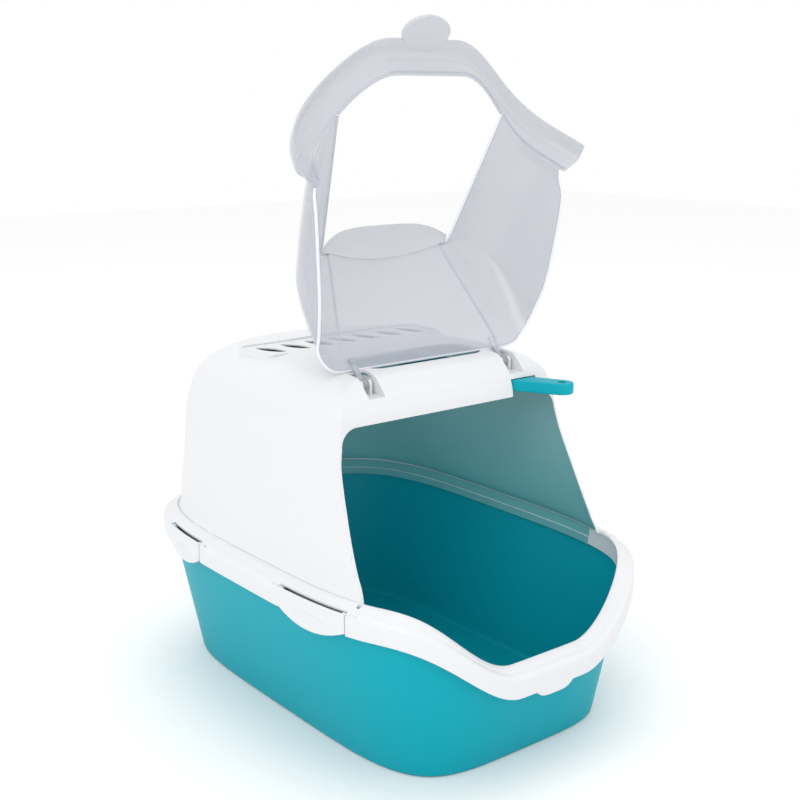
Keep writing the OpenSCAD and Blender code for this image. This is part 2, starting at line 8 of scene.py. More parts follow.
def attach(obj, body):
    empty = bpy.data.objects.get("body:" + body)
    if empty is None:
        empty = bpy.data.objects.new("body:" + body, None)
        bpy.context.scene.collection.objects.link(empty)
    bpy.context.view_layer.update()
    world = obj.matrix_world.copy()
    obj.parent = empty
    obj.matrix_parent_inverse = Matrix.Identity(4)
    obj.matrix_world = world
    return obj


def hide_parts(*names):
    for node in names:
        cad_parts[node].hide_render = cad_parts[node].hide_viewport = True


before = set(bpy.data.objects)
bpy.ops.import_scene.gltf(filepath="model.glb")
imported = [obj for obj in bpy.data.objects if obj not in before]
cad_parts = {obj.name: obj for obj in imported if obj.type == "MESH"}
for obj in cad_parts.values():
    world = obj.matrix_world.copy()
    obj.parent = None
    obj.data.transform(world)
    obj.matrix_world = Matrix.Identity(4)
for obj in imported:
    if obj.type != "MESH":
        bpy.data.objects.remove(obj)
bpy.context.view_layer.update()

# ------------------------------------------------------------------ sizes, in mm
RIM_A, RIM_B, RIM_N = 200.0, 280.0, 3.65
SKIRT = 158.0
DIP, DIP_OUT, DIP_IN = 71.0, 180.0, 44.0
TRAY_RIM, FRONT_EDGE = 8.0, 20.0
HOOD_T, COVER_T = 3.0, 2.2
HINGE_X, HINGE_Y, HINGE_Z = 97.5, -90.0, 381.0
LID_SLOPE, LID_OVER, OPEN = 22.3, 6.94, 150.0
OPEN_TOP = 346.0
LATCH_Z = SKIRT + 20
LATCH_AXIS_IN = 3.2
FLOOR_BOW = 0.008
SCOOP_Z = 351.5


def rad(a):
    return math.radians(a)


def smooth(t):
    u = min(1.0, max(0.0, t))
    return u * u * (3 - 2 * u)


def mix(a, b, t):
    return a + (b - a) * t


def squircle(q, a, b, n):
    c, s = math.cos(rad(q)), math.sin(rad(q))
    k = (abs(c) ** n + abs(s) ** n) ** (-1 / n)
    return np.array([a * c * k, b * s * k])


def rim_at(q):
    return squircle(q, RIM_A, RIM_B, RIM_N)


def inset(q, d):
    p = rim_at(q)
    n = np.array([math.copysign((abs(p[0]) / RIM_A) ** (RIM_N - 1) / RIM_A, p[0]),
                  math.copysign((abs(p[1]) / RIM_B) ** (RIM_N - 1) / RIM_B, p[1])])
    return p - d * n / np.linalg.norm(n)


def drop(q):
    p = rim_at(q)
    return DIP * smooth((DIP_OUT - abs(p[0])) / (DIP_OUT - DIP_IN)) if p[1] < 0 else 0.0


def rim_point(q, d, h):
    p = inset(q, d)
    return np.array([p[0], p[1], SKIRT - drop(q) + h])


def rim_angle(y):
    v = y / RIM_B
    return math.degrees(math.atan2(v, (1 - abs(v) ** RIM_N) ** (1 / RIM_N)))


# ------------------------------------------------------------------ meshes
def spline(points, steps):
    """Points along a Catmull-Rom curve through the given ones, steps per span."""
    p = np.array(points, float)
    out = []
    for i in range(len(p) - 1):
        a, b, c, d = p[max(i - 1, 0)], p[i], p[i + 1], p[min(i + 2, len(p) - 1)]
        for k in range(steps):
            t = k / steps
            out.append(0.5 * (2 * b + (c - a) * t + (2 * a - 5 * b + 4 * c - d) * t * t
                              + (3 * b - a - 3 * c + d) * t ** 3))
    out.append(p[-1])
    return out


def shell(outside, inside, wrap=False, close_low=False, close_high=False):
    """(vertices, faces) of the closed skin between two grids of points."""
    ni, nj = len(outside), len(outside[0])
    half, last = ni * nj, ni if wrap else ni - 1
    verts = [p for col in outside for p in col] + [p for col in inside for p in col]

    def o(i, j):
        return (i % ni) * nj + j

    def n(i, j):
        return half + (i % ni) * nj + j

    faces, k = [], nj - 1
    for i in range(last):
        for j in range(nj - 1):
            faces.append((o(i, j), o(i + 1, j), o(i + 1, j + 1), o(i, j + 1)))
            faces.append((n(i, j), n(i, j + 1), n(i + 1, j + 1), n(i + 1, j)))
        if not close_low:
            faces.append((o(i + 1, 0), o(i, 0), n(i, 0), n(i + 1, 0)))
        if not close_high:
            faces.append((o(i, k), o(i + 1, k), n(i + 1, k), n(i, k)))
    if close_low:
        faces.append(tuple(o(i, 0) for i in range(ni - 1, -1, -1)))
        faces.append(tuple(n(i, 0) for i in range(ni)))
    if close_high:
        faces.append(tuple(o(i, k) for i in range(ni)))
        faces.append(tuple(n(i, k) for i in range(ni - 1, -1, -1)))
    if not wrap:
        for j in range(nj - 1):
            faces.append((o(0, j), o(0, j + 1), n(0, j + 1), n(0, j)))
            faces.append((o(last, j + 1), o(last, j), n(last, j), n(last, j + 1)))
    return verts, faces


def thickened(g, t):
    """A grid of points moved inward along its normals by t."""
    g = np.array(g, float)
    a = np.empty_like(g)
    a[1:-1], a[0], a[-1] = g[2:] - g[:-2], g[1] - g[0], g[-1] - g[-2]
    b = np.empty_like(g)
    b[:, 1:-1], b[:, 0], b[:, -1] = g[:, 2:] - g[:, :-2], g[:, 1] - g[:, 0], g[:, -1] - g[:, -2]
    n = np.cross(a, b)
    n /= np.linalg.norm(n, axis=2, keepdims=True)
    return g - t * n


def extruded(outline, height):
    """(vertices, faces) of an upright prism on z = 0 over a counterclockwise outline."""
    n = len(outline)
    verts = [(x, y, 0) for x, y in outline] + [(x, y, height) for x, y in outline]
    faces = [tuple(range(n - 1, -1, -1)), tuple(range(n, 2 * n))]
    faces += [(i, (i + 1) % n, n + (i + 1) % n, n + i) for i in range(n)]
    return verts, faces


def moved(part, matrix):
    return [tuple(matrix @ Vector(v)) for v in part[0]], part[1]


def along_x(points, x0, x1):
    """A solid with the outline points (y, z), from x0 to x1."""
    m = Matrix(((0, 0, 1, x0), (1, 0, 0, 0), (0, 1, 0, 0), (0, 0, 0, 1)))
    return moved(extruded(points, x1 - x0), m)


def cylinder_x(x0, x1, y, z, r, n=48):
    ring = [(y + r * math.cos(rad(a * 360 / n)), z + r * math.sin(rad(a * 360 / n))) for a in range(n)]
    return along_x(ring, x0, x1)


def cuboid(x0, x1, y0, y1, z0, z1):
    return moved(extruded([(x0, y0), (x1, y0), (x1, y1), (x0, y1)], z1 - z0), Matrix.Translation((0, 0, z0)))


def rounded(x0, x1, y0, y1, r, z0, z1, n=12):
    pts = []
    for cx, cy, a0 in ((x1 - r, y0 + r, -90), (x1 - r, y1 - r, 0), (x0 + r, y1 - r, 90), (x0 + r, y0 + r, 180)):
        pts += [(cx + r * math.cos(rad(a0 + 90 * k / n)), cy + r * math.sin(rad(a0 + 90 * k / n)))
                for k in range(n + 1)]
    return moved(extruded(pts, z1 - z0), Matrix.Translation((0, 0, z0)))


def rim_slab(q0, q1, d0, d1, z0, z1, steps=24):
    """An upright wall along the rim, between two angles and two distances in from its edge."""
    qs = [mix(q0, q1, i / steps) for i in range(steps + 1)]
    pts = [tuple(inset(q, d0)) for q in qs] + [tuple(inset(q, d1)) for q in reversed(qs)]
    return moved(extruded(pts, z1 - z0), Matrix.Translation((0, 0, z0)))


def mirrored(part):
    return [(-x, y, z) for x, y, z in part[0]], [tuple(reversed(f)) for f in part[1]]


def both(part):
    return [part, mirrored(part)]


def raw_object(name, part):
    verts, faces = part
    me = bpy.data.meshes.new(name)
    me.from_pydata([[c * 0.001 for c in v] for v in verts], [], faces)
    me.validate()
    ob = bpy.data.objects.new(name, me)
    bpy.context.scene.collection.objects.link(ob)
    bm = bmesh.new()
    bm.from_mesh(me)
    bmesh.ops.recalc_face_normals(bm, faces=bm.faces)
    bm.to_mesh(me)
    bm.free()
    return ob


def apply_modifiers(ob):
    dg = bpy.context.evaluated_depsgraph_get()
    me = bpy.data.meshes.new_from_object(ob.evaluated_get(dg))
    ob.modifiers.clear()
    old = ob.data
    ob.data = me
    bpy.data.meshes.remove(old)


def boolean(ob, tool, operation):
    """Cuts or joins an object with another one, which is used up."""
    m = ob.modifiers.new("b", "BOOLEAN")
    m.object, m.operation, m.solver = tool, operation, "MANIFOLD"
    bpy.context.view_layer.update()
    apply_modifiers(ob)
    if len(ob.data.polygons) == 0:
        raise RuntimeError("a boolean step left nothing")
    me = tool.data
    bpy.data.objects.remove(tool)
    bpy.data.meshes.remove(me)


def combine(ob, parts, operation):
    """Cuts or joins solids one by one."""
    for part in parts:
        boolean(ob, raw_object("tool", part), operation)


def finish_piece(ob, material, body, nodes, angle=32, weld=1e-5):
    """Smooths a piece, gives it its materials and hangs it on its body in place of its CAD nodes."""
    bm = bmesh.new()
    bm.from_mesh(ob.data)
    bmesh.ops.remove_doubles(bm, verts=bm.verts, dist=weld)
    bmesh.ops.dissolve_degenerate(bm, edges=bm.edges, dist=weld)
    for f in bm.faces:
        f.smooth = True
    for e in bm.edges:
        e.smooth = len(e.link_faces) == 2 and e.calc_face_angle(math.pi) < rad(angle)
    bm.to_mesh(ob.data)
    bm.free()
    ob.data.materials.clear()
    for m in (material if isinstance(material, list) else [material]):
        ob.data.materials.append(m)
    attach(ob, body)
    if nodes:
        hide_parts(*nodes)


# ------------------------------------------------------------------ materials
def plastic(name, color, rough, bump=0.02, scale=900.0, alpha=1.0, gloss=0.5, edge=0.0006, coat=0.0):
    m = bpy.data.materials.new(name)
    m.use_nodes = True
    nt = m.node_tree
    p = nt.nodes["Principled BSDF"]
    p.inputs["Base Color"].default_value = (*color, 1)
    p.inputs["Roughness"].default_value = rough
    p.inputs["IOR"].default_value = 1.49
    p.inputs["Alpha"].default_value = alpha
    p.inputs["Specular IOR Level"].default_value = gloss
    p.inputs["Coat Weight"].default_value = coat
    co = nt.nodes.new("ShaderNodeTexCoord")
    tex = nt.nodes.new("ShaderNodeTexNoise")
    tex.inputs["Scale"].default_value = scale
    tex.inputs["Detail"].default_value = 3.0
    nt.links.new(co.outputs["Object"], tex.inputs["Vector"])
    b = nt.nodes.new("ShaderNodeBump")
    b.inputs["Strength"].default_value = bump
    b.inputs["Distance"].default_value = 0.0002
    nt.links.new(tex.outputs["Fac"], b.inputs["Height"])
    if edge:
        r = nt.nodes.new("ShaderNodeBevel")
        r.samples = 4
        r.inputs["Radius"].default_value = edge
        nt.links.new(r.outputs["Normal"], b.inputs["Normal"])
    nt.links.new(b.outputs["Normal"], p.inputs["Normal"])
    return m


def graded(m, low, high, z0, z1, axis="Z", reach=0.03):
    """Colours a material from low at z0 on an axis to high at z1, with a soft mottle, in the object's space."""
    nt = m.node_tree
    p = nt.nodes["Principled BSDF"]
    co = nt.nodes.new("ShaderNodeTexCoord")
    xyz = nt.nodes.new("ShaderNodeSeparateXYZ")
    noise = nt.nodes.new("ShaderNodeTexNoise")
    noise.inputs["Scale"].default_value = 6.0
    ramp = nt.nodes.new("ShaderNodeMapRange")
    ramp.inputs["From Min"].default_value, ramp.inputs["From Max"].default_value = z0, z1
    add = nt.nodes.new("ShaderNodeMath")
    add.operation = "MULTIPLY_ADD"
    add.inputs[1].default_value = reach
    mixer = nt.nodes.new("ShaderNodeMix")
    mixer.data_type = "RGBA"
    mixer.inputs["A"].default_value, mixer.inputs["B"].default_value = (*low, 1), (*high, 1)
    nt.links.new(co.outputs["Object"], xyz.inputs["Vector"])
    nt.links.new(co.outputs["Object"], noise.inputs["Vector"])
    nt.links.new(noise.outputs["Fac"], add.inputs[0])
    nt.links.new(xyz.outputs[axis], add.inputs[2])
    nt.links.new(add.outputs["Value"], ramp.inputs["Value"])
    nt.links.new(ramp.outputs["Result"], mixer.inputs["Factor"])
    nt.links.new(mixer.outputs["Result"], p.inputs["Base Color"])
    return m


# Teal graded darker from 0.17 m down to the floor: painted shade, the plastic itself is one colour.
TEAL = graded(plastic("teal_plastic", (0.0, 0.36, 0.44), 0.45, gloss=0.16),
              (0.0, 0.32, 0.395), (0.0, 0.36, 0.44), 0.0, 0.17)
# A darker copy of the same teal plastic for the tray's inside: painted shade.
TEAL_IN_SHADED = plastic("teal_plastic_inside_shaded", (0.0, 0.31, 0.39), 0.5, gloss=0.16)
WHITE = plastic("white_plastic", (0.73, 0.74, 0.757), 0.36, gloss=0.4)
# The hood's inside is the same white plastic; this teal-grey copy, lighter towards the top, is painted shade
# and painted teal bounce light.
WHITE_IN_SHADED = graded(plastic("white_plastic_inside_shaded", (0.2, 0.42, 0.43), 0.55, gloss=0.2),
                  (0.16, 0.43, 0.45), (0.29, 0.46, 0.46), 0.2, 0.4)
FROST = plastic("frosted_plastic", (0.5, 0.52, 0.58), 0.16, bump=0.01, alpha=0.5, edge=0.0005, coat=0.5)
# A near-white, more opaque copy of the frosted plastic for the cover's edge beads: painted highlight where
# light runs along the edges.
FROST_EDGE_HIGHLIGHT = plastic("frosted_plastic_edge_highlight", (0.84, 0.86, 0.92), 0.2, bump=0.01, alpha=0.9, edge=0.0)
CHARCOAL = plastic("charcoal_pad", (0.02, 0.02, 0.022), 0.95, bump=0.8, scale=320.0, edge=0.0)


# ------------------------------------------------------------------ tray
def front_rise(q):
    return smooth(3 * drop(q) / DIP)


def edge_h(q):
    return mix(TRAY_RIM, FRONT_EDGE, front_rise(q))


def edge_z(q):
    return SKIRT + edge_h(q) - drop(q)


def floor_at(q, e):
    a, b = 151 - e, 240 - e
    p = squircle(q, a, b, 5)
    return p * np.array([1 - FLOOR_BOW * (p[1] / b) ** 2, 1 - FLOOR_BOW * (p[0] / a) ** 2])


def tray_point(q, z, e):
    p = mix(floor_at(q, e), inset(q, 10 + e), z / edge_z(q))
    return np.array([p[0], p[1], z])


def tray_column(q):
    ft, fin, ez, t = 2.5, mix(3.4, 6.2, front_rise(q)), edge_z(q), 3.0
    outer = [tray_point(q, r * (1 - math.sin(rad(a))), r * (1 - math.cos(rad(a))) * 0.75)
             for r in (4.0,) for a in (90, 72, 54, 36, 18, 0)]
    outer += [tray_point(q, u * ez, 0) for u in (0.1, 0.25, 0.4, 0.55, 0.7, 0.85)]
    outer += [tray_point(q, ez - ft - 1.2, 0), rim_point(q, 10 - 1.2, edge_h(q) - ft),
              rim_point(q, fin + 0.5, edge_h(q) - ft), rim_point(q, fin, edge_h(q) - ft + 0.5),
              rim_point(q, fin, edge_h(q) - 0.6), rim_point(q, fin + 0.6, edge_h(q))]
    inner = [tray_point(q, t, 3 + t + 2), tray_point(q, t + 0.6, 0.9 + t + 2), tray_point(q, t + 2, 1 + t),
             tray_point(q, t + 4, 0.3 + t), tray_point(q, t + 6, t), tray_point(q, t + 9, t)]
    inner += [tray_point(q, u * ez, t) for u in (0.1, 0.25, 0.4, 0.55, 0.7, 0.85)]
    inner += [tray_point(q, ez - 4, t), tray_point(q, ez - 2.6, t), tray_point(q, ez - 1.6, t),
              tray_point(q, ez - 0.8, t + 0.1), rim_point(q, 12.6, edge_h(q) - 0.2),
              rim_point(q, 11.6, edge_h(q))]
    return outer, inner


def make_tray():
    cols = [tray_column(i * 360 / 240) for i in range(240)]
    ob = raw_object("tray_body", shell([c[0] for c in cols], [c[1] for c in cols], wrap=True, close_low=True))
    finish_piece(ob, [TEAL, TEAL_IN_SHADED], "box", ["tray"], angle=40)
    # Inward faces of the walls and the inner floor take the darker teal copy: painted shade inside the tray.
    for p in ob.data.polygons:
        floor_top = p.normal.z > 0.5 and p.center.z < 0.02
        inward = p.center.x * p.normal.x / RIM_A ** 2 + p.center.y * p.normal.y / RIM_B ** 2 < 0
        p.material_index = 1 if floor_top or (inward and p.normal.z < 0.7) else 0


# ------------------------------------------------------------------ hood
LEVELS = [
    (185.5, 184, 264, 264, 3.7, -179), (190, 180, 258, 259, 3.9, -177), (197, 176, 254, 255, 4.2, -173.5),
    (212, 172.5, 250, 254, 4.5, -165), (240, 167.5, 250, 255, 4.5, -151.5), (268, 162.5, 250, 255, 4.6, -139.5),
    (292, 158.3, 250, 254.5, 4.8, -129.5), (312, 155.3, 250, 253.5, 4.8, -123), (339, 150, 247, 251, 4.5, -119),
    (354, 148, 236, 242, 4.2, -117.5), (364, 145, 224, 232, 4, -114.5), (371, 142, 210, 222, 3.8, -112),
    (376, 139, 196, 213, 3.6, -108), (380, 136, 184, 205, 3.4, -104), (384, 132, 170, 196, 3.2, -100),
    (388, 126, 154, 184, 3, -96), (391, 114, 134, 166, 2.8, -88), (393, 90, 104, 136, 2.6, -70),
    (394.5, 40, 50, 70, 2.4, -36)]
FINE = spline(LEVELS, 3)


def level_at(z, k):
    return float(np.interp(z, [v[0] for v in LEVELS], [v[k] for v in LEVELS]))


def front_y(z):
    return level_at(z, 5)


def front_half(z, t):
    n, reach = level_at(z, 4), level_at(z, 2) - t
    return (level_at(z, 1) - t) * (1 - (abs(front_y(z)) / reach) ** n) ** (1 / n)


def hood_point(level, q, t):
    up = smooth((level[0] - 345) / 46)
    flat = math.sqrt(max(0.0, 1 - up * up))
    half = (level[2] if math.sin(rad(q)) < 0 else level[3]) - t * flat
    p = squircle(q, level[1] - t * flat, half, level[4])
    return np.array([p[0], max(p[1], level[5] + t * max(flat, 0.75)), level[0] - t * up])


def entrance():
    corner = 20.0
    zs = [180, 190, 200, 210, 220, 230, 240, 250, 260, 270, 280, 290, 300, 312, OPEN_TOP - corner]
    side = [(front_half(max(z, 186), HOOD_T), z) for z in zs]
    tx = front_half(OPEN_TOP - corner, HOOD_T) - corner
    arc = [(tx + corner * math.cos(rad(a)), OPEN_TOP - corner * (1 - math.sin(rad(a))))
           for a in range(6, 91, 6)]
    right = side + arc
    pts = right + [(-x, z) for x, z in reversed(right)]
    m = Matrix(((1, 0, 0, 0), (0, 0, -1, -80), (0, 1, 0, 0), (0, 0, 0, 1)))
    return moved(extruded(pts, 120), m)


def front_slab():
    zs = [180, 190, 212, 240, 268, 292, 312, 339, OPEN_TOP + 1]
    pts = [(front_y(max(z, 186)) - 5, z) for z in zs] + [(front_y(max(z, 186)) + 6, z) for z in reversed(zs)]
    return along_x(list(reversed(pts)), -190, 190)


SPANS = [(rim_angle(-178), rim_angle(-75)), (rim_angle(86), rim_angle(166))]
SLOTS, SLOT_PITCH, SLOT_TILT = 7, 33.5, 20
VENT_X, VENT_Y0, VENT_Y1, VENT_FLOOR, VENT_TOP = 124, 50, 114, 391.2, 392.6
GRIP_X, GRIP_Y0, GRIP_Y1, GRIP_R = 84, -80, -24, 22
POCKET_X0, POCKET_X1, POCKET_BACK, POCKET_FLOOR, POCKET_WALL = 87.2, 107.8, -74.5, 370.5, 2.6
HOLE_AT, HOLE_R = (174, -182), 2.6


def vent_slots():
    wide, long = 15.0, 44.0
    r = (long * long + wide * wide) / 4 / wide
    a = math.degrees(math.asin(long / 2 / r))
    lens = [(wide / 2 - r + r * math.cos(rad(t)), r * math.sin(rad(t))) for t in np.linspace(-a, a, 17)[:-1]]
    lens += [(r - wide / 2 - r * math.cos(rad(t)), -r * math.sin(rad(t))) for t in np.linspace(-a, a, 17)[:-1]]
    turn, middle = Matrix.Rotation(rad(SLOT_TILT), 4, "Z"), (VENT_Y0 + VENT_Y1) / 2
    places = [Matrix.Translation(((i - (SLOTS - 1) / 2) * SLOT_PITCH, middle, 381)) for i in range(SLOTS)]
    return [moved(extruded(lens, 14), place @ turn) for place in places]


def on_scoop():
    """The frame of the scoop: +X along its handle, from the rounded end back to the blade."""
    return Matrix.Translation((125, -155, SCOOP_Z)) @ Matrix.Rotation(rad(117), 4, "Z")


def rim_band():
    outer = spline([(0, 0), (0, 9), (0, 17.5), (1.2, 21.5), (4, 24), (8.2, 25.6), (9.6, 27), (14, 29.2),
                    (17.6, 30.1), (19, 29.4)], 3)
    inner = spline([(2.6, 0), (2.6, 9), (2.6, 17), (3.6, 19.2), (5.4, 21.2), (9, 22.8), (10.6, 24.2),
                    (14.6, 26.4), (17.4, 26.9), (19, 27)], 3)
    outer[0:1] = [(0.7, 0), (0.15, 0.6)]
    inner[0:1] = [(1.9, 0), (2.5, 0.6)]
    qs = [i * 360 / 288 for i in range(288)]
    return shell([[rim_point(q, *p) for p in outer] for q in qs],
                 [[rim_point(q, *p) for p in inner] for q in qs], wrap=True)


def inner_skirt():
    qs = [(i + 0.5) * 360 / 240 for i in range(240)]

    def side(q, d):
        return [rim_point(q, d, mix(6.5, 24.5, front_rise(q))), rim_point(q, d, 27.6)]
    ring = shell([side(q, 15.2) for q in qs], [side(q, 17.4) for q in qs], wrap=True)
    f = rim_angle(-160)
    arc = [mix(f, 180 - f, i / 120) for i in range(121)]
    ledge = shell([[rim_point(q, 16.6, 6.5), rim_point(q, 16.6, 16)] for q in arc],
                  [[rim_point(q, 18.6, 6.5), rim_point(q, 18.6, 15.4)] for q in arc])
    return [ring, ledge]


def rim_tab():
    half, y = 25.0, rim_point(-90, 0, 0)[1]
    z = rim_point(-90, 0, 0)[2]
    pts = [(half, 3), (-half, 3)]
    pts += [(half * (i / 12 - 1), -6.5 * (1 - abs(i / 12 - 1) ** 4)) for i in range(25)]
    m = Matrix(((1, 0, 0, 0), (0, 0, -1, y + 2.4), (0, 1, 0, z), (0, 0, 0, 1)))
    return moved(extruded(pts, 2.4), m)


def latch_frame(span):
    a, b = inset(span[0], LATCH_AXIS_IN), inset(span[1], LATCH_AXIS_IN)
    mid, ang = (a + b) / 2, math.atan2(b[1] - a[1], b[0] - a[0])
    m = Matrix.Translation((mid[0], mid[1], LATCH_Z)) @ Matrix.Rotation(ang, 4, "Z")
    return m, float(np.linalg.norm(b - a))


def make_hood():
    qs = [i * 360 / 240 for i in range(240)]
    body = shell([[hood_point(v, q, 0) for v in FINE] for q in qs],
                 [[hood_point(v, q, HOOD_T) for v in FINE] for q in qs], wrap=True, close_high=True)
    ob = raw_object("hood_body", body)
    cut = raw_object("cut", entrance())
    combine(cut, [front_slab()], "INTERSECT")
    boolean(ob, cut, "DIFFERENCE")
    low, back = POCKET_FLOOR - POCKET_WALL, POCKET_BACK + POCKET_WALL
    pocket = [(-110.6, low), (back, low), (back, 387), (-90, 387), (-97, 385), (-104.5, 378), (-110.6, 371)]
    walls = along_x(pocket, POCKET_X0 - POCKET_WALL, POCKET_X1 + POCKET_WALL)
    ring = moved(cuboid(62, 84, -16.6, 16.6, -3.6, POCKET_FLOOR - 2 - SCOOP_Z), on_scoop())
    frame_part = rounded(-VENT_X - 3, VENT_X + 3, VENT_Y0 - 3, VENT_Y1 + 3, 14, 384, VENT_TOP)
    combine(ob, both(walls) + [frame_part, ring], "UNION")
    combine(ob, both(cuboid(POCKET_X0, POCKET_X1, -118, POCKET_BACK, POCKET_FLOOR, 400)), "DIFFERENCE")
    combine(ob, [rounded(-GRIP_X, GRIP_X, GRIP_Y0, GRIP_Y1, GRIP_R, 375, 400),
                 rounded(-VENT_X, VENT_X, VENT_Y0, VENT_Y1, 12, VENT_FLOOR, 400)], "DIFFERENCE")
    hollow = rounded(6 - VENT_X, VENT_X - 6, VENT_Y0 + 5, VENT_Y1 - 5, 10, 380, VENT_FLOOR - 1.6)
    combine(ob, [hollow] + vent_slots(), "DIFFERENCE")
    combine(ob, [cuboid(86.6, 124, -126, -96, OPEN_TOP - 8, OPEN_TOP + 19),
                 moved(cuboid(61, 85, -13.6, 13.6, -0.6, 13.1), on_scoop())], "DIFFERENCE")
    band = raw_object("band", rim_band())
    cuts = []
    for s in SPANS:
        cuts += both(rim_slab(s[0], s[1], -3, 5.4, SKIRT - 2, SKIRT + 27))
        cuts += both(rim_slab(s[0], s[1], 5, 8.2, SKIRT - 2, LATCH_Z + 2.6))
    circle = [(HOLE_AT[0] + HOLE_R * math.cos(rad(a)), HOLE_AT[1] + HOLE_R * math.sin(rad(a)))
              for a in range(0, 360, 10)]
    holes = both(moved(extruded(circle, 40), Matrix.Translation((0, 0, SKIRT))))
    combine(band, cuts + holes, "DIFFERENCE")
    extras = [rim_tab()] + inner_skirt()
    for q in (rim_angle(-40), rim_angle(40), rim_angle(200), 70):
        extras += both(rim_slab(q - 0.35, q + 0.35, 4.4, 9, SKIRT + TRAY_RIM, SKIRT + 23.4, 1))
    for s in SPANS:
        for q0, q1 in ((s[0] - 2.2, s[0] - 0.1), (s[1] + 0.1, s[1] + 2.2)):
            extras += both(rim_slab(q0, q1, 1, 7, LATCH_Z - 5, LATCH_Z + 3.4, 3))
    for x in (HINGE_X + 4, HINGE_X - 7.2):
        extras += both(cylinder_x(x, x + 3.2, HINGE_Y, HINGE_Z, 4.4))
        extras += both(cuboid(x, x + 3.2, HINGE_Y - 4.4, HINGE_Y + 4.4, 369.5, HINGE_Z))
    combine(band, extras, "UNION")
    boolean(ob, band, "UNION")
    combine(ob, both(cylinder_x(HINGE_X - 8, HINGE_X + 8, HINGE_Y, HINGE_Z, 2.55)), "DIFFERENCE")
    finish_piece(ob, [WHITE, WHITE_IN_SHADED], "box", ["hood"], angle=30)
    # Inward faces of the walls and skirt, and downward faces under the roof, take the teal-grey copy: painted
    # shade and painted teal bounce light.
    for p in ob.data.polygons:
        c, n = p.center * 1000, p.normal
        inward = c.x * n.x / RIM_A ** 2 + c.y * n.y / RIM_B ** 2 < -1e-7
        skirt = c.z < 186 and c.y > -160 and abs(n.z) < 0.5
        wall, under = inward and (188 < c.z < 345 or skirt), c.z > 340 and n.z < -0.25
        p.material_index = 1 if wall or under else 0


# ------------------------------------------------------------------ cover
def lid_z(y):
    return HINGE_Z + LID_OVER / math.cos(rad(LID_SLOPE)) + (y - HINGE_Y) * math.tan(rad(LID_SLOPE))


WALL_FROM, WALL_TO, LIP_FROM = rim_angle(-190), -57.9, rim_angle(-184)
FOOT_IN, FOOT_H = 24.0, 29.5
CREASE = np.array([89.0, -230.0, 307.0])
CREASE_R, CREASE_RISE, BEND_X, LID_BACK = 12.0, 13.0, 110.0, -112.0
SIDE, BEND, TOP = 27, 18, 18


def crease_at(x):
    rise = CREASE_RISE * (1 - (x / (CREASE[0] - CREASE_R)) ** 2)
    return np.array([x, CREASE[1], CREASE[2] + CREASE_R + rise])


def back_edge(i):
    if i <= SIDE:
        u = i / SIDE
        z, foot, b = mix(SKIRT + FOOT_H, 340, u), rim_point(WALL_FROM, FOOT_IN, FOOT_H), smooth(u * 5)
        return np.array([mix(foot[0], front_half(max(z, 190), 0), b),
                         mix(foot[1], front_y(max(z, 190)) - 2.5, b), z])
    if i <= SIDE + BEND:
        a = 90 * (i - SIDE) / BEND
        z = mix(340, lid_z(LID_BACK), math.sin(rad(a)))
        return np.array([BEND_X + 38.5 * math.cos(rad(a)), min(front_y(z) - 2.5, LID_BACK), z])
    return np.array([BEND_X * (1 - (i - SIDE - BEND) / TOP), LID_BACK, lid_z(LID_BACK)])


def front_edge(i):
    if i <= SIDE:
        return mix(rim_point(WALL_TO, FOOT_IN, FOOT_H), CREASE, i / SIDE)
    if i <= SIDE + BEND:
        a = rad(90 * (i - SIDE) / BEND)
        return CREASE + CREASE_R * np.array([math.cos(a) - 1, 0, math.sin(a)])
    return crease_at((CREASE[0] - CREASE_R) * (1 - (i - SIDE - BEND) / TOP))


def skin_point(i, v):
    b, f = back_edge(i), front_edge(i)
    forward = math.sin(rad(90 * v)) ** (2 / 2.6)
    to_fold = SIDE + BEND - i
    w = min(1.0, 0.25 + 0.25 * to_fold) if to_fold > 0 else 0.0
    outward = mix(1 - forward, max(0.0, math.cos(rad(90 * v))) ** (2 / 2.6), w)
    return np.array([f[0] + (b[0] - f[0]) * outward, mix(b[1], f[1], forward), mix(b[2], f[2], forward)])


def cover_point(i, v):
    hold = (1 - i / SIDE) ** 2 if i < SIDE else 0.0
    foot = rim_point(mix(WALL_FROM, WALL_TO, v), FOOT_IN, FOOT_H)
    return skin_point(i, v) + hold * (foot - skin_point(0, v))


def cover_skin():
    rows, steps = SIDE + BEND + TOP, 24
    right = [[cover_point(i, j / steps) for j in range(steps + 1)] for i in range(rows + 1)]
    left = [[np.array([-p[0], p[1], p[2]]) for p in right[i]] for i in range(rows - 1, -1, -1)]
    skin = right + left
    return shell(skin, thickened(skin, COVER_T))


def cover_brow():
    half, steps, flat = 85.0, 64, CREASE[0] - CREASE_R

    def top(x):
        c = math.copysign(min(abs(x), flat), x)
        return crease_at(c) + np.array([x - c, 1, -1.5])

    def low(x):
        e = (abs(x) / half) ** 4
        return np.array([x, CREASE[1] - 1 - 16 * (1 - e), 298 + 9 * e])
    skin = []
    for i in range(steps + 1):
        x = half * (2 * i / steps - 1)
        a, b = low(x), top(x)
        skin.append([mix(a, b, t) + np.array([0, -6, 4]) * t * (1 - t) for t in np.linspace(0, 1, 9)])
    return shell(skin, thickened(skin, COVER_T))


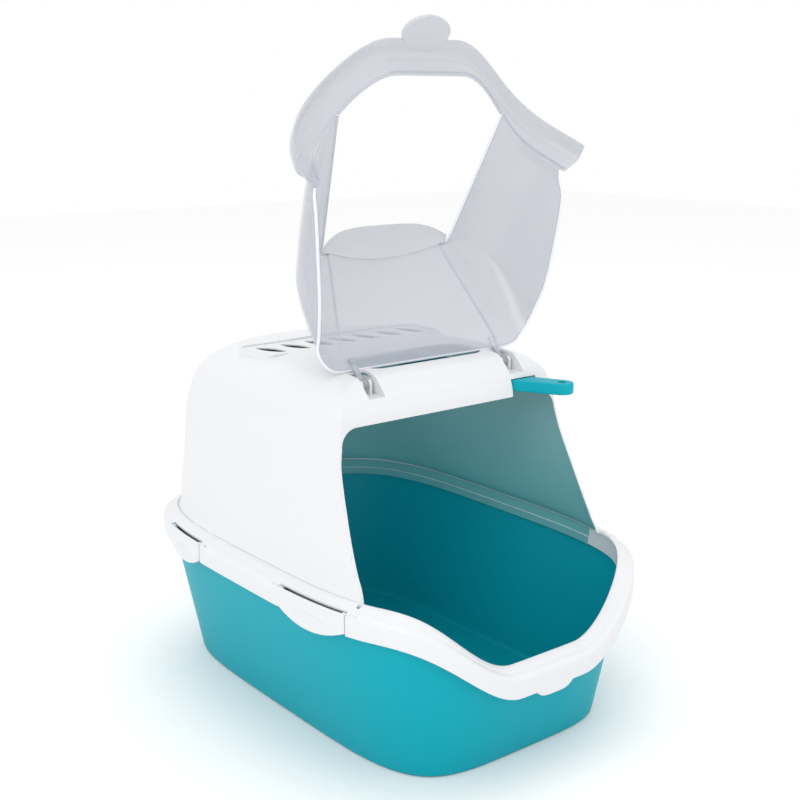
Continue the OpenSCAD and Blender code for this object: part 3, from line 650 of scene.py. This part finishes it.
def cover_lip():
    outer = spline([(-3.2, 6.5), (-3.2, 13), (-3.2, 18.8), (-1.4, 24), (2.8, 27.4), (7.6, 29), (13, 32.6),
                    (19, 34.2), (23, 34.2), (25, 32.6), (25, 29)], 3)
    inner = spline([(-1.2, 6.5), (-1.2, 13), (-1.2, 18.4), (0, 22.6), (3.6, 25.6), (8, 27.1), (13.4, 30.7),
                    (19, 32.2), (22, 32), (23, 31.2), (23, 29)], 3)
    qs = [mix(-180 - LIP_FROM, LIP_FROM, i / 150) for i in range(151)]
    return shell([[rim_point(q, *p) for p in outer] for q in qs],
                 [[rim_point(q, *p) for p in inner] for q in qs])


def cover_arm():
    m = Matrix.Translation((HINGE_X - 3.6, HINGE_Y, HINGE_Z)) @ Matrix.Rotation(rad(LID_SLOPE), 4, "X")
    return [moved(cuboid(0.4, 6.8, -32, 0, 1.6, 4.9), m), moved(cuboid(0.4, 6.8, -32, -23, 1.6, 5.6), m)]


def cover_tab():
    y, z = rim_point(-90, -3.2, 6)[1] + 2.4, rim_point(-90, -3.2, 6)[2]
    n = 96
    oval = [(30 * math.cos(2 * math.pi * k / n), -6 + 19 * math.sin(2 * math.pi * k / n)) for k in range(n)]
    m = Matrix(((1, 0, 0, 0), (0, 0, -1, y), (0, 1, 0, z), (0, 0, 0, 1)))
    hollow = [(19 * math.cos(2 * math.pi * k / n), -8 + 9 * math.sin(2 * math.pi * k / n)) for k in range(n)]
    hm = m @ Matrix.Translation((0, 0, 3.4))
    strip = [(26, -4), (26, 6), (-26, 6), (-26, -4)]
    return moved(extruded(oval, 4.6), m), moved(extruded(strip, 3), m), moved(extruded(hollow, 2), hm)


def tube(points, r, n=10):
    """A closed round bar along points, its ring carried along without twist."""
    p = [Vector(q) for q in points]
    side = (p[1] - p[0]).orthogonal().normalized()
    verts, faces = [], []
    for i, q in enumerate(p):
        way = (p[min(i + 1, len(p) - 1)] - p[max(i - 1, 0)]).normalized()
        side = (side - way * side.dot(way)).normalized()
        up = way.cross(side)
        for k in range(n):
            a = 2 * math.pi * k / n
            verts.append(tuple(q + r * (math.cos(a) * side + math.sin(a) * up)))
    for i in range(len(p) - 1):
        for k in range(n):
            a, b = i * n + k, i * n + (k + 1) % n
            faces.append((a, b, b + n, a + n))
    m = (len(p) - 1) * n
    return verts, faces + [tuple(range(n - 1, -1, -1)), tuple(range(m, m + n))]


def swung(ob):
    """Turns a piece built closed to the raised place that the frame rests in."""
    h = Vector((0, HINGE_Y, HINGE_Z)) * 0.001
    ob.data.transform(Matrix.Translation(h) @ Matrix.Rotation(rad(-OPEN), 4, "X") @ Matrix.Translation(-h))


def make_beads():
    """The thickened edges of the cover, near-white as a painted highlight: along each crease, round the
    entrance and up the rear edges.
    """
    fold = SIDE + BEND
    lines = [[cover_point(fold, v) for v in np.linspace(0.02, 1, 40)],
             [cover_point(i, 1.0) for i in range(fold + 1)],
             [cover_point(i, 0.0) for i in range(2, fold + TOP + 1)]]
    parts = [tube(line, 1.6) for line in lines]
    verts, faces = [], []
    for part in parts + [mirrored(t) for t in parts]:
        faces += [tuple(k + len(verts) for k in f) for f in part[1]]
        verts += list(part[0])
    ob = raw_object("cover_beads", (verts, faces))
    swung(ob)
    finish_piece(ob, FROST_EDGE_HIGHLIGHT, "cover", [], angle=50)


def make_cover():
    ob = raw_object("entry_cover", cover_skin())
    oval, strip, hollow = cover_tab()
    parts = [cover_brow(), cover_lip(), oval, strip]
    for arm in cover_arm():
        parts += both(arm)
    for half, r in ((3.6, 4.6), (6.8, 2.5)):
        parts += both(cylinder_x(HINGE_X - half, HINGE_X + half, HINGE_Y, HINGE_Z, r))
    combine(ob, parts, "UNION")
    combine(ob, [hollow], "DIFFERENCE")
    swung(ob)
    finish_piece(ob, FROST, "cover", ["front_cover"], angle=28)


# ------------------------------------------------------------------ latches
def make_latch(name, node, body, span, side):
    a, b = rim_at(span[0]), rim_at(span[1])
    half, bulge = (b[1] - a[1]) / 2, 12.0    # of the half-moon below the rim
    r = (half * half + bulge * bulge) / 2 / bulge
    mid_y, play = (a[1] + b[1]) / 2, 0.25 / 3.4
    q0, q1, top = span[0] + play, span[1] - play, LATCH_Z + 2.5
    nq, nz, edge = 64, 28, 1.3

    def low(y):
        d = abs(y - mid_y)
        z = SKIRT - 9 + r - math.sqrt(max(0.0, r * r - d * d))
        return min(z, SKIRT + 3)
    outer, inner = [], []
    for i in range(nq + 1):
        u = 0.5 - 0.5 * math.cos(math.pi * i / nq)
        q = mix(q0, q1, u)
        y = rim_at(q)[1]
        zl = low(y)
        co, ci = [], []
        for j in range(nz + 1):
            v = 0.5 - 0.5 * math.cos(math.pi * j / nz)
            z = mix(zl, top, v)
            d = min(z - zl, top - z, abs(y - a[1]), abs(b[1] - y))
            lift = edge - math.sqrt(max(0.0, edge ** 2 - max(0.0, edge - d) ** 2))
            e = math.hypot((y - mid_y) / (half * 0.52), (z - (SKIRT + 2.5)) / 7.4)
            dimple = 1.1 * (1 - smooth((e - 0.8) / 0.2))
            co.append(np.array([*inset(q, -1.2 + lift * 0.8 + dimple), z]))
            ci.append(np.array([*inset(q, 1.6), z]))
        outer.append(co)
        inner.append(ci)
    ob = raw_object(name, shell(outer, inner))
    m, length = latch_frame(span)
    rail = 6 * play
    parts = [rim_slab(span[0] + rail, span[1] - rail, 0.8, 4.8, LATCH_Z - 2, LATCH_Z - 0.2)]
    for s in (-1, 1):
        parts.append(moved(cylinder_x(s * (length / 2 - 3) - 2.5, s * (length / 2 - 3) + 2.5, 0, 0, 2.6), m))
        c = s * (length / 2 + 1.5)
        parts.append(moved(cylinder_x(c - 2.5, c + 2.5, 0, 0, 1.8), m))
    hook = SKIRT + TRAY_RIM - 2.5
    parts.append(rim_slab(mix(*span, 0.3), mix(*span, 0.7), 1.4, 6.4, hook - 2.6, hook - 0.3))
    combine(ob, parts, "UNION")
    if side < 0:
        ob.data.transform(Matrix.Scale(-1, 4, Vector((1, 0, 0))))
        ob.data.flip_normals()
    finish_piece(ob, WHITE, body, [node], angle=35)


# ------------------------------------------------------------------ scoop
def make_scoop():
    hw, hh, hl, bw, bl, wall = 13.0, 12.5, 104.0, 104.0, 118.0, 2.4
    n = 24
    outline = [(hw * math.cos(rad(a)), hw * math.sin(rad(a))) for a in np.linspace(90, 270, n + 1)]
    outline += [(hl - 14, -hw), (hl + 1, -hw), (hl + 1, hw), (hl - 14, hw)]
    ob = raw_object("scoop_body", extruded(outline, hh))
    bv = ob.modifiers.new("bevel", "BEVEL")
    bv.width, bv.segments, bv.limit_method, bv.angle_limit = 0.0016, 4, "ANGLE", rad(50)
    apply_modifiers(ob)
    r = hw - wall
    under = [(r * math.cos(rad(a)), r * math.sin(rad(a))) for a in np.linspace(90, 270, n + 1)]
    under += [(hl - wall, -r), (hl - wall, r)]
    combine(ob, [moved(extruded(under, hh - wall + 1), Matrix.Translation((0, 0, -1)))], "DIFFERENCE")
    hole = [(5 * math.cos(2 * math.pi * k / 40), 5 * math.sin(2 * math.pi * k / 40)) for k in range(40)]
    combine(ob, [moved(extruded(hole, hh + 4), Matrix.Translation((0, 0, -2)))], "DIFFERENCE")
    blade = raw_object("blade", cuboid(hl - 0.5, hl - 0.5 + bl, -bw / 2, bw / 2, 0, 18))
    combine(blade, [cuboid(hl + wall, hl + bl + 2, wall - bw / 2, bw / 2 - wall, wall, 20)], "DIFFERENCE")
    slots = [rounded(hl + 16, hl + bl - 16, i * 10.6 - 2.5, i * 10.6 + 2.5, 2.4, -1, wall + 1, 4)
             for i in range(-4, 5)]
    combine(blade, slots, "DIFFERENCE")
    boolean(ob, blade, "UNION")
    s = on_scoop().copy()
    s.translation *= 0.001
    ob.data.transform(s)
    finish_piece(ob, TEAL, "scoop", ["scoop"], angle=35)


make_tray()
make_hood()
make_cover()
make_beads()
for k, end in ((0, "front"), (1, "rear")):
    for side, hand in ((-1, "left"), (1, "right")):
        short = f"latch_{end[0]}{hand[0]}"
        make_latch(short + "_plate", f"latch_{end}_{hand}", short, SPANS[k], side)
make_scoop()
for node, material in (("filter_holder", TEAL), ("carbon_filter", CHARCOAL)):
    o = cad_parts[node]
    o.data.materials.clear()
    o.data.materials.append(material)

# ------------------------------------------------------------------ stage
bpy.ops.mesh.primitive_plane_add(size=12, location=(0, 0, -0.0002))
floor = bpy.context.object
floor.name = "floor"
fm = bpy.data.materials.new("floor_paint")
fm.use_nodes = True
fm.node_tree.nodes["Principled BSDF"].inputs["Base Color"].default_value = (0.96, 0.96, 0.96, 1)
fm.node_tree.nodes["Principled BSDF"].inputs["Roughness"].default_value = 0.9
floor.data.materials.append(fm)


def area(name, size, loc, target, power):
    d = bpy.data.lights.new(name, "AREA")
    d.shape, d.size, d.energy = "SQUARE", size, power
    o = bpy.data.objects.new(name, d)
    o.location = loc
    o.rotation_euler = (Vector(target) - Vector(loc)).to_track_quat("-Z", "Y").to_euler()
    bpy.context.scene.collection.objects.link(o)


area("key", 2.0, (-2.4, -1.6, 2.2), (0, 0, 0.3), 26)
area("fill", 2.5, (1.8, -2.6, 1.6), (0, 0, 0.3), 6)
area("top", 2.0, (0.2, 0.5, 3.2), (0, 0, 0.3), 12)
glow = bpy.data.objects.new("glow", bpy.data.lights.new("glow", "POINT"))
glow.data.energy, glow.data.shadow_soft_size = 0.4, 0.06
glow.location = (-0.05, 0.06, 0.26)
glow.visible_camera = False
bpy.context.scene.collection.objects.link(glow)
world = bpy.data.worlds.new("studio")
world.use_nodes = True
world.node_tree.nodes["Background"].inputs["Color"].default_value = (1, 1, 1, 1)
world.node_tree.nodes["Background"].inputs["Strength"].default_value = 1.0
bpy.context.scene.world = world
bpy.context.scene.view_settings.view_transform = "Standard"

cam = bpy.data.cameras.new("camera")
cam.sensor_width, cam.lens = 36, 56.51
cam.shift_x, cam.shift_y = -0.005, 0.003
cam.clip_end = 40
co = bpy.data.objects.new("camera", cam)
co.location = (-0.8501, -1.1009, 0.6666)
co.rotation_euler = (rad(90 - 13.59), 0, rad(-38.53))
bpy.context.scene.collection.objects.link(co)
bpy.context.scene.camera = co
